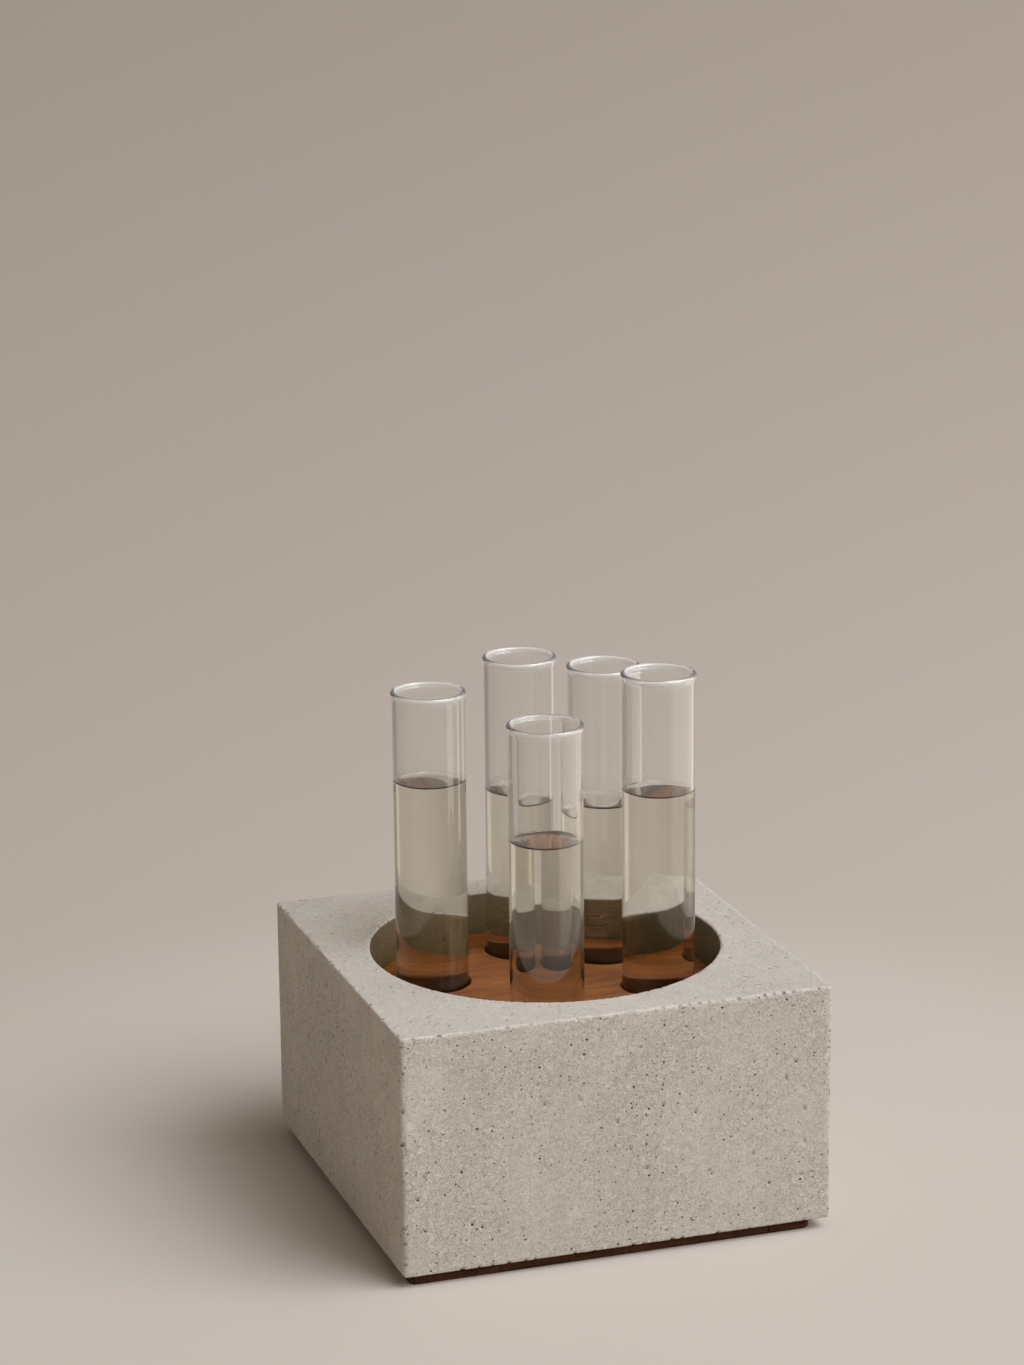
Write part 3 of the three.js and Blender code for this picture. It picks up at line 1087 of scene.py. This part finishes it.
def disc_object(material, axes):
    """The disc: rings round its rim and round a hole on each axis, and flat faces between them."""
    lo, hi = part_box("wood_disc")
    centre = (lo + hi) / 2
    radius = (hi.x - lo.x) / 2
    rim = (centre.x, centre.y), radius, DISC_EDGE, DISC_SEGMENTS, lo.z, hi.z, 1
    holes = [(axis, HOLE_RADIUS, HOLE_EDGE, HOLE_SEGMENTS, lo.z, hi.z, -1) for axis in axes]
    vertices, faces, tops, bottoms = [], [], [], []
    for loop in [rim, *holes]:
        rings = rounded_rings(*loop)
        count = len(rings[0])
        starts = [len(vertices) + i * count for i in range(len(rings))]
        for points in rings:
            vertices += points
        for a, b in zip(starts, starts[1:]):
            quads = strip(a, b, count)
            faces += quads if loop is rim else [tuple(reversed(quad)) for quad in quads]
        tops.append(list(range(starts[0], starts[0] + count)))
        bottoms.append(list(range(starts[-1], starts[-1] + count)))
    flat_from = len(faces)
    faces += fill_between(vertices, tops, True)
    faces += fill_between(vertices, bottoms, False)
    return make_object("disc_body", vertices, faces, material, range(flat_from, len(faces)))


# Glass tubes and water

def tube_profile(bottom, top):
    """A tube's profile: up its outside from the round bottom, over the bead and down its inside."""
    outer, inner = TUBE_RADIUS, TUBE_RADIUS - TUBE_WALL
    lip = (BEAD_RADIUS - inner) / 2
    base = top - BEAD_HEIGHT
    profile = arc(0, bottom + outer, outer, -90, 0, BOTTOM_STEPS)
    for share in np.linspace(0, 1, BEAD_STEPS + 1):
        swell = share * share * (3 - 2 * share)
        profile.append((outer + (BEAD_RADIUS - outer) * swell, base + (BEAD_HEIGHT - lip) * share))
    profile += arc(BEAD_RADIUS - lip, top - lip, lip, 0, 180, LIP_STEPS)[1:]
    profile.append((inner, base - BELOW_BEAD))
    profile += arc(0, bottom + outer, inner, 0, -90, BOTTOM_STEPS)
    return profile


def water_profile(bottom, level):
    """The water's profile: up along the glass, a little way into it, and in over the curved surface."""
    edge = TUBE_RADIUS - TUBE_WALL
    radius = edge + WATER_OVERLAP
    profile = arc(0, bottom + TUBE_RADIUS, radius, -90, 0, BOTTOM_STEPS)
    profile.append((radius, level + MENISCUS_RISE))
    for inset in MENISCUS_INSETS:
        rise = MENISCUS_RISE * math.exp(-inset * MM / MENISCUS_REACH)
        profile.append((edge - inset * MM, level + rise))
    profile += [(edge / 4, level), (0, level)]
    return profile


def tube_objects(glass, water):
    """Each tube and its water. Returns the tubes' axes."""
    axes = []
    for body, level in WATER_LEVELS.items():
        node = "tube_" + body
        lo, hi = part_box(node)
        axis = ((lo.x + hi.x) / 2, (lo.y + hi.y) / 2)
        axes.append(axis)
        tube = make_object("glass_" + body, *lathe(tube_profile(lo.z, hi.z), TUBE_SEGMENTS, axis), glass)
        set_attribute(tube, "bead", [float(v.co.z > hi.z - HAZE_HEIGHT) for v in tube.data.vertices])
        dress(tube, body, "glass", node)
        vertices, faces = lathe(water_profile(lo.z, level), TUBE_SEGMENTS, axis)
        fill = make_object("water_" + body, vertices, faces, water, sharp_from=WATER_SHARP_FROM)
        dress(fill, body, "glass")
    return axes


# Wooden plate

def plate_object(material):
    """The plate: its outline, drawn in along the rounded edges, and two flat faces."""
    lo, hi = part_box("base_plate")
    centre = (lo + hi) / 2
    half = (hi.x - lo.x) / 2
    outline = square_outline(half, PLATE_CORNER, PLATE_SIDE_STEPS, PLATE_CORNER_STEPS)
    profile = edge_profile(half - PLATE_EDGE, PLATE_EDGE, lo.z, hi.z, PLATE_EDGE_STEPS)
    vertices, faces = [], []
    for reach, height in profile:
        scale = reach / half
        vertices += [(centre.x + x * scale, centre.y + y * scale, height) for x, y in outline]
    count = len(outline)
    for i in range(len(profile) - 1):
        faces += strip(i * count, (i + 1) * count, count)
    faces.append(tuple(range(count)))
    faces.append(tuple(range(len(vertices) - 1, len(vertices) - 1 - count, -1)))
    return make_object("plate_body", vertices, faces, material, (len(faces) - 2, len(faces) - 1))


# The whole scene

bpy.context.scene.view_settings.view_transform = "Standard"
bpy.context.scene.cycles.max_bounces = BOUNCES
bpy.context.scene.cycles.transmission_bounces = BOUNCES
make_camera()
make_lights()
make_world()
make_floor()

block = block_object(concrete_material())
dress(block, "stand", "concrete", "concrete_block")
plate = plate_object(plate_material())
dress(plate, "stand", "plate_wood", "base_plate")
glass = clear_material("glass", GLASS_COLOUR, GLASS_IOR, BEAD_HAZE)
water = clear_material("water", WATER_COLOUR, WATER_IOR)
axes = tube_objects(glass, water)
disc = disc_object(disc_material(), axes)
dress(disc, "disc", "disc_wood", "wood_disc")
